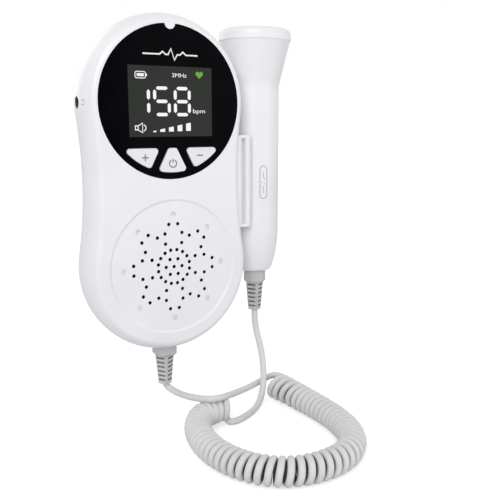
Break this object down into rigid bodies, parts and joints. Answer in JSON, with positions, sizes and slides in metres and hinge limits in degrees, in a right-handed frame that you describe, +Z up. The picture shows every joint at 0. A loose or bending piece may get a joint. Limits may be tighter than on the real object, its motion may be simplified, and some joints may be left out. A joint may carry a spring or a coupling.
{
  "type": "fetal doppler monitor",
  "caption": "Handheld white fetal heartbeat monitor with a round black display, a star-shaped speaker grille and an ultrasound probe docked at its side on a curly cord.",
  "frame": {"origin": "on the flat back face, straight behind the centre of the round display", "axes": "+X to the right seen from the front (towards the docked probe), +Y from the front to the back, +Z up along the case"},
  "size_m": [0.0964, 0.101, 0.1677],
  "materials": {
    "white_housing": "glossy white",
    "white_head": "glossy white",
    "black_window": "glossy black",
    "display_glass": "dark screen behind glass",
    "inner_plastic": "matte black",
    "keys": "satin light grey",
    "grey_rubber": "matte grey silicone",
    "relief_rubber": "satin light grey",
    "cord_rubber": "satin pale grey",
    "bright_metal": "plated",
    "magnet": "dark ferrite",
    "circuit_board": "green solder mask",
    "speaker_cloth": "black dust cloth",
    "speaker_paper": "black pressed paper",
    "black_plastic": "black",
    "battery_jacket": "printed jacket",
    "crystal": "pale ceramic"
  },
  "bodies": {
    "main_unit": {"front_housing": "white_housing", "rear_housing": "white_housing", "probe_dock": "white_housing", "display_window": "black_window", "lcd_panel": "display_glass", "lcd_frame": "inner_plastic", "keypad_membrane": "grey_rubber", "key_domes": "bright_metal", "main_board": "circuit_board", "speaker_cloth": "speaker_cloth", "speaker_basket": "bright_metal", "speaker_cone": "speaker_paper", "speaker_magnet": "magnet", "headphone_jack": "black_plastic", "battery_cells": "battery_jacket", "battery_contacts": "bright_metal", "battery_springs": "bright_metal", "case_screws": "bright_metal", "unit_strain_relief": "relief_rubber", "unit_lead": "cord_rubber", "curly_cord": "cord_rubber", "probe_lead": "cord_rubber"},
    "plus_key": {"button_plus": "keys"},
    "power_key": {"button_power": "keys"},
    "minus_key": {"button_minus": "keys"},
    "probe": {"probe_handle": "white_housing", "probe_head": "white_head", "transducer_crystal": "crystal", "probe_board": "circuit_board", "probe_strain_relief": "relief_rubber"},
    "cover": {"battery_cover": "white_housing"}
  },
  "joints": [
    {"name": "plus_key_press", "type": "slide", "parent": "main_unit", "child": "plus_key", "axis": [0, 1, 0], "range_m": [0, 0.0006], "stiffness_N_per_m": 500},
    {"name": "power_key_press", "type": "slide", "parent": "main_unit", "child": "power_key", "axis": [0, 1, 0], "range_m": [0, 0.0006], "stiffness_N_per_m": 500},
    {"name": "minus_key_press", "type": "slide", "parent": "main_unit", "child": "minus_key", "axis": [0, 1, 0], "range_m": [0, 0.0006], "stiffness_N_per_m": 500},
    {"name": "probe_lift", "type": "slide", "parent": "main_unit", "child": "probe", "axis": [0, 0, 1], "range_m": [0, 0.045]},
    {"name": "battery_cover_slide", "type": "slide", "parent": "main_unit", "child": "cover", "axis": [0, 0, -1], "range_m": [0, 0.01]}
  ]
}
